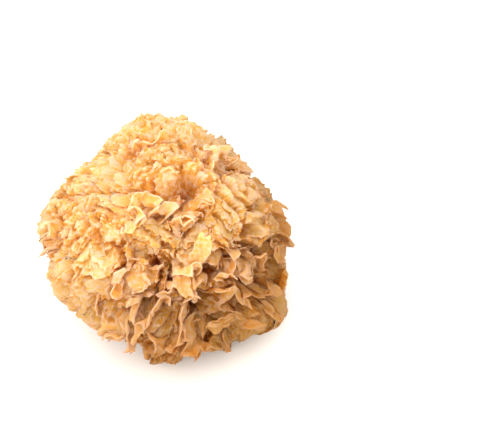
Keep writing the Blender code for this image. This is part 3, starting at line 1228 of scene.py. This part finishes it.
@dataclass(frozen=True)
class CreaseEffect:
    """Creased skin, shared by the finishes: noise of two scales, folded back and forth into sharp creases."""

    fold_width: float = 0.12
    detail: float = 2.0
    distortion: float = 0.8

    def build(self) -> bpy.types.NodeTree:
        """Make the node group.

        Returns:
            A group with the inputs Position, Coarse Rate, Coarse Depth, Fine Rate and Fine Depth, and the
            output Height: the sum of each scale's depth times its fold, 0 in the grooves and 1 on the creases.
        """
        group = bpy.data.node_groups.new("creased_skin", "ShaderNodeTree")
        group.interface.new_socket("Height", in_out="OUTPUT", socket_type="NodeSocketFloat")
        group.interface.new_socket("Position", in_out="INPUT", socket_type="NodeSocketVector")
        for name in ("Coarse Rate", "Coarse Depth", "Fine Rate", "Fine Depth"):
            group.interface.new_socket(name, in_out="INPUT", socket_type="NodeSocketFloat")
        entry, leave = group.nodes.new("NodeGroupInput"), group.nodes.new("NodeGroupOutput")
        total = group.nodes.new("ShaderNodeMath")
        for place, scale in enumerate(("Coarse", "Fine")):
            noise = group.nodes.new("ShaderNodeTexNoise")
            noise.inputs["Detail"].default_value = self.detail
            noise.inputs["Distortion"].default_value = self.distortion
            group.links.new(entry.outputs["Position"], noise.inputs["Vector"])
            group.links.new(entry.outputs[f"{scale} Rate"], noise.inputs["Scale"])
            fold = group.nodes.new("ShaderNodeMath")
            fold.operation = "PINGPONG"
            fold.inputs[1].default_value = self.fold_width
            group.links.new(noise.outputs["Fac"], fold.inputs[0])
            share = group.nodes.new("ShaderNodeMath")
            share.operation = "DIVIDE"
            share.inputs[1].default_value = self.fold_width
            group.links.new(fold.outputs["Value"], share.inputs[0])
            scaled = group.nodes.new("ShaderNodeMath")
            scaled.operation = "MULTIPLY"
            group.links.new(share.outputs["Value"], scaled.inputs[0])
            group.links.new(entry.outputs[f"{scale} Depth"], scaled.inputs[1])
            group.links.new(scaled.outputs["Value"], total.inputs[place])
        group.links.new(total.outputs["Value"], leave.inputs["Height"])
        return group


class FinishNodes:
    """A new material, and short ways to add nodes to it."""

    def __init__(self, name: str) -> None:
        """Make the material.

        Args:
            name: its name.
        """
        self.material = bpy.data.materials.new(name)
        self.material.use_nodes = True
        self.nodes = self.material.node_tree.nodes
        self.links = self.material.node_tree.links
        self.shader = self.nodes["Principled BSDF"]
        self.position = self.nodes.new("ShaderNodeTexCoord").outputs["Object"]

    def value(self, name: str) -> Socket:
        """The vertices' value of a name.

        Args:
            name: the name.

        Returns:
            The value over the surface.
        """
        reader = self.nodes.new("ShaderNodeAttribute")
        reader.attribute_name = name
        return reader.outputs["Fac"]

    def ranged(self, factor: Socket, limits: tuple[float, float], top: float) -> Socket:
        """A factor brought to another range.

        Args:
            factor: the value.
            limits: where the result is 0, and where it is greatest.
            top: the greatest result.

        Returns:
            The share of the way between the limits, times the top.
        """
        span = self.nodes.new("ShaderNodeMapRange")
        self.links.new(factor, span.inputs["Value"])
        span.inputs["From Min"].default_value, span.inputs["From Max"].default_value = limits
        span.inputs["To Max"].default_value = top
        return span.outputs["Result"]

    def mixed(self, factor: Socket, under: Socket, over: tuple, blend: Blend = Blend.OVER) -> Socket:
        """One colour laid over another.

        Args:
            factor: how much of the upper colour there is.
            under: the lower colour.
            over: the upper colour.
            blend: how it is laid.

        Returns:
            The mixed colour.
        """
        mix = self.nodes.new("ShaderNodeMix")
        mix.data_type = "RGBA"
        mix.blend_type = blend.value
        self.links.new(factor, mix.inputs["Factor"])
        self.links.new(under, mix.inputs["A"])
        mix.inputs["B"].default_value = (*over, 1.0)
        return mix.outputs["Result"]

    def stepped(self, factor: Socket, colours: list[tuple], places: tuple) -> Socket:
        """A row of colours.

        Args:
            factor: the place in the row.
            colours: the colours.
            places: where each of them is pure.

        Returns:
            The colour at the factor, mixed from its neighbours in the row.
        """
        ramp = self.nodes.new("ShaderNodeValToRGB")
        self.links.new(factor, ramp.inputs["Fac"])
        steps = ramp.color_ramp.elements
        while len(steps) < len(colours):
            steps.new(1.0)
        for step, colour, place in zip(steps, colours, places):
            step.position = place
            step.color = (*colour, 1.0)
        return ramp.outputs["Color"]

    def creases(self, effect: bpy.types.NodeTree, rates: tuple[float, float], depths: tuple[float, float]) -> Socket:
        """The shared creases at the piece's own points.

        Args:
            effect: the node group.
            rates: the coarse and the fine creases' rates, for each metre.
            depths: how deep each are.

        Returns:
            The creases' height.
        """
        user = self.nodes.new("ShaderNodeGroup")
        user.node_tree = effect
        self.links.new(self.position, user.inputs["Position"])
        user.inputs["Coarse Rate"].default_value, user.inputs["Fine Rate"].default_value = rates
        user.inputs["Coarse Depth"].default_value, user.inputs["Fine Depth"].default_value = depths
        return user.outputs["Height"]

    def bumped(self, height: Socket, strength: float, distance: float) -> Socket:
        """The normals of a surface with that height.

        Args:
            height: the height, about 0 to 1.
            strength: the bump's strength.
            distance: how many metres a height of 1 is.

        Returns:
            The normals, also linked to the Principled shader.
        """
        bump = self.nodes.new("ShaderNodeBump")
        bump.inputs["Strength"].default_value = strength
        bump.inputs["Distance"].default_value = distance
        self.links.new(height, bump.inputs["Height"])
        self.links.new(bump.outputs["Normal"], self.shader.inputs["Normal"])
        return bump.outputs["Normal"]


@dataclass(frozen=True)
class MembraneFinish:
    """Dried membrane: cream at the margins, golden in the folds, amber to dark red brown in the depths, the darkening
    inwards partly its own deeper colour and partly painted shade; with painted highlights on crests, ridges and,
    partly, margins, and painted shade in creases, hollows, low down and towards the right.
    """

    # Colours by depth in the head: partly the membrane's own deeper colour, partly painted shade in the recesses,
    # down to the dark red brown of shadowed holes.
    outer: tuple = (1.00, 0.80, 0.35)
    middle: tuple = (1.00, 0.66, 0.17)
    inner: tuple = (0.97, 0.36, 0.05)
    deep: tuple = (0.26, 0.040, 0.010)
    depth_places: tuple = (0.05, 0.16, 0.32, 0.46)
    # Painted highlight colour for crests and ridges, painted shade colour for troughs and hollows.
    crest: tuple = (1.00, 0.82, 0.62)
    painted_shade_trough: tuple = (1.00, 0.60, 0.11)
    # Pale margin colour: partly the thin dried margin's own colour, partly a painted highlight of edges catching
    # light.
    pale_rim_and_painted_highlight: tuple = (1.00, 0.84, 0.66)
    # Painted shade colour, multiplied in low down and towards the right, away from the key light.
    low: tuple = (0.71, 0.52, 0.29)
    crease_rates: tuple[float, float] = (130.0, 350.0)
    crease_depths: tuple[float, float] = (0.6, 0.4)
    # How strongly, and at which crease heights, the painted crest highlight and painted trough shade are laid on.
    creased: float = 0.75
    painted_highlight_crest_heights: tuple[float, float] = (0.50, 0.95)
    painted_shade_trough_heights: tuple[float, float] = (0.35, 0.05)
    # Where painted shade fills the mesh's hollows and a painted highlight lies on its ridges.
    painted_shade_hollow_limits: tuple[float, float] = (0.02, 0.30)
    painted_shade_hollow_share: float = 0.75
    painted_highlight_ridge_limits: tuple[float, float] = (-0.01, -0.18)
    painted_highlight_ridge_share: float = 0.90
    shade_way: tuple[float, float, float] = (-0.28, 0.0, 1.0)
    shade_limits: tuple[float, float] = (0.074, 0.024)
    roughness: float = 0.48
    gloss: float = 0.35
    through: float = 0.58
    bump_strength: float = 0.5
    bump_distance: float = 0.00036

    def build(self, effect: bpy.types.NodeTree) -> bpy.types.Material:
        """Make the material: colours from the depth in the head, hollows, creases and margins, much of them painted
        shade and painted highlight, and light let through.

        Args:
            effect: the shared creases.

        Returns:
            The material. Its colour is darker low down and towards the head's right side, as painted shade.
        """
        finish = FinishNodes("dried_membrane")
        links = finish.links
        height = finish.creases(effect, self.crease_rates, self.crease_depths)
        hollow = finish.value("hollow")
        # Painted shade, partly real deeper colour: darker and redder the deeper a point lies in the head.
        depths = [self.outer, self.middle, self.inner, self.deep]
        colour = finish.stepped(finish.value("inwardness"), depths, self.depth_places)
        # Painted highlight on the creases' crests and painted shade in their grooves.
        colour = finish.mixed(finish.ranged(height, self.painted_highlight_crest_heights, self.creased), colour, self.crest)
        colour = finish.mixed(finish.ranged(height, self.painted_shade_trough_heights, self.creased), colour, self.painted_shade_trough)
        # Painted shade in the mesh's hollows, painted highlight on its ridges.
        colour = finish.mixed(finish.ranged(hollow, self.painted_shade_hollow_limits, self.painted_shade_hollow_share), colour, self.painted_shade_trough)
        colour = finish.mixed(finish.ranged(hollow, self.painted_highlight_ridge_limits, self.painted_highlight_ridge_share), colour, self.crest)
        # Pale margins, partly their own colour and partly a painted highlight on the thin edges.
        colour = finish.mixed(finish.value("edge"), colour, self.pale_rim_and_painted_highlight)
        # Painted shade: darker low down and towards the head's right side, away from the key light.
        place = finish.nodes.new("ShaderNodeVectorMath")
        place.operation = "DOT_PRODUCT"
        place.inputs[1].default_value = self.shade_way
        links.new(finish.position, place.inputs[0])
        shade = finish.ranged(place.outputs["Value"], self.shade_limits, 1.0)
        colour = finish.mixed(shade, colour, self.low, Blend.MULTIPLIED)
        links.new(colour, finish.shader.inputs["Base Color"])
        finish.shader.inputs["Roughness"].default_value = self.roughness
        finish.shader.inputs["Specular IOR Level"].default_value = self.gloss
        normal = finish.bumped(height, self.bump_strength, self.bump_distance)
        glow = finish.nodes.new("ShaderNodeBsdfTranslucent")
        links.new(colour, glow.inputs["Color"])
        links.new(normal, glow.inputs["Normal"])
        mix = finish.nodes.new("ShaderNodeMixShader")
        mix.inputs["Fac"].default_value = self.through
        links.new(finish.shader.outputs["BSDF"], mix.inputs[1])
        links.new(glow.outputs["BSDF"], mix.inputs[2])
        links.new(mix.outputs["Shader"], finish.nodes["Material Output"].inputs["Surface"])
        return finish.material


@dataclass(frozen=True)
class FootFinish:
    """The tough foot: brown, fibrous and dull, paler on its creases and towards the cut."""

    groove: tuple = (0.24, 0.09, 0.03)
    crease: tuple = (0.52, 0.27, 0.11)
    cut: tuple = (0.66, 0.44, 0.22)
    cut_heights: tuple[float, float] = (0.0030, 0.0005)
    cut_share: float = 0.6
    crease_rates: tuple[float, float] = (90.0, 420.0)
    crease_depths: tuple[float, float] = (0.6, 0.4)
    roughness: float = 0.85
    bump_strength: float = 0.6
    bump_distance: float = 0.0005

    def build(self, effect: bpy.types.NodeTree) -> bpy.types.Material:
        """Make the material.

        Args:
            effect: the shared creases.

        Returns:
            The material.
        """
        finish = FinishNodes("tough_foot")
        height = finish.creases(effect, self.crease_rates, self.crease_depths)
        colour = finish.stepped(height, [self.groove, self.crease], (0.1, 0.9))
        split = finish.nodes.new("ShaderNodeSeparateXYZ")
        finish.links.new(finish.position, split.inputs["Vector"])
        colour = finish.mixed(finish.ranged(split.outputs["Z"], self.cut_heights, self.cut_share), colour, self.cut)
        finish.links.new(colour, finish.shader.inputs["Base Color"])
        finish.shader.inputs["Roughness"].default_value = self.roughness
        finish.bumped(height, self.bump_strength, self.bump_distance)
        return finish.material


@dataclass(frozen=True)
class Studio:
    """A pale floor, soft lights and the camera at the photograph's angle. Sizes in metres."""

    head: HeadForm
    elevation: float = math.radians(45)
    lens_mm: float = 85.0
    sensor_mm: float = 36.0
    aim_right: float = 0.0019
    aim_height: float = 0.0340
    floor_size: float = 6.0
    floor_colour: tuple = (0.93, 0.93, 0.92)
    floor_roughness: float = 0.9
    surround_colour: tuple = (1.0, 0.98, 0.95)
    surround_strength: float = 1.55
    key_size: float = 1.4
    key_watts: float = 6.9
    key_colour: tuple = (1.0, 0.97, 0.90)
    key_place: tuple = (-0.27, -0.24, 0.71)
    key_aim: tuple = (0.0, 0.0, 0.04)

    def build_camera(self) -> None:
        """Place the camera so that the head comes where it is in the photograph."""
        camera = bpy.data.cameras.new("camera")
        camera.lens = self.lens_mm
        camera.sensor_width = self.sensor_mm
        metres_per_pixel = self.head.width / HEAD_WIDTH_PX
        distance = self.lens_mm / self.sensor_mm * FRAME_WIDTH_PX * metres_per_pixel
        right = Vector((1.0, 0.0, 0.0))
        up = Vector((0.0, math.sin(self.elevation), math.cos(self.elevation)))
        away = Vector((0.0, -math.cos(self.elevation), math.sin(self.elevation)))
        centre = Vector((self.aim_right, 0.0, self.aim_height))
        aim = centre + right * (FRAME_WIDTH_PX / 2 - HEAD_CENTRE_PX[0]) * metres_per_pixel
        aim = aim + up * (HEAD_CENTRE_PX[1] - FRAME_HEIGHT_PX / 2) * metres_per_pixel
        eye = bpy.data.objects.new("camera", camera)
        eye.location = aim + away * distance
        eye.rotation_euler = (-away).to_track_quat("-Z", "Y").to_euler()
        bpy.context.scene.collection.objects.link(eye)
        bpy.context.scene.camera = eye

    def build_lights(self) -> None:
        """A large warm key light at the upper left, and a soft pale surround."""
        world = bpy.data.worlds.new("surround")
        world.use_nodes = True
        background = world.node_tree.nodes["Background"]
        background.inputs["Color"].default_value = (*self.surround_colour, 1.0)
        background.inputs["Strength"].default_value = self.surround_strength
        bpy.context.scene.world = world
        bpy.context.scene.view_settings.view_transform = "Standard"
        key = bpy.data.lights.new("key", "AREA")
        key.shape = "DISK"
        key.size = self.key_size
        key.energy = self.key_watts
        key.color = self.key_colour
        lamp = bpy.data.objects.new("key", key)
        lamp.location = self.key_place
        toward = Vector(self.key_aim) - lamp.location
        lamp.rotation_euler = toward.to_track_quat("-Z", "Y").to_euler()
        bpy.context.scene.collection.objects.link(lamp)

    def build_floor(self) -> None:
        """A plain pale floor under the head."""
        half = self.floor_size / 2
        corners = np.array([[-half, -half, 0.0], [half, -half, 0.0], [half, half, 0.0], [-half, half, 0.0]])
        material = bpy.data.materials.new("pale_floor")
        material.use_nodes = True
        shader = material.node_tree.nodes["Principled BSDF"]
        shader.inputs["Base Color"].default_value = (*self.floor_colour, 1.0)
        shader.inputs["Roughness"].default_value = self.floor_roughness
        floor = new_piece("floor", corners, np.array([[0, 1, 2, 3]]), {}, material)

    def build(self) -> None:
        """Make the whole studio."""
        self.build_camera()
        self.build_lights()
        self.build_floor()


def dress_foot(material: bpy.types.Material) -> None:
    """Give the frame's foot its finish.

    Args:
        material: the finish.
    """
    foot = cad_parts["base"]
    for slot in foot.material_slots:
        slot.material = material


def main() -> None:
    """Build the studio, then the foot and every membrane."""
    logging.basicConfig(level=logging.INFO, format="%(name)s: %(message)s")
    head = HeadForm()
    Studio(head).build()
    effect = CreaseEffect().build()
    dress_foot(FootFinish().build(effect))
    membrane_material = MembraneFinish().build(effect)
    layout = FrondLayout(head)
    total = 0
    plans = layout.plans()
    axes = np.array([plan.axis for plan in plans])
    layers = [(style, layout.leaflet_cells(axes, leaflets, seed)) for style, leaflets, seed in LAYERS]
    petal_owners = [int(np.argmax(axes @ unit(np.array(petal.root)))) for petal in PETALS]
    for plan in plans:
        leaflets = [(style, cell) for style, cells in layers for cell in cells[plan.number]]
        petals = [petal for petal, owner in zip(PETALS, petal_owners) if owner == plan.number]
        piece = Frond(head, plan, leaflets, petals, layout.waves).build(membrane_material)
        total += 2 * len(piece.data.polygons)
        LOG.info("%s replaces %s, %d triangles", piece.name, plan.node, 2 * len(piece.data.polygons))
    LOG.info("%d triangles in all", total)


if __name__ == "__main__":
    main()
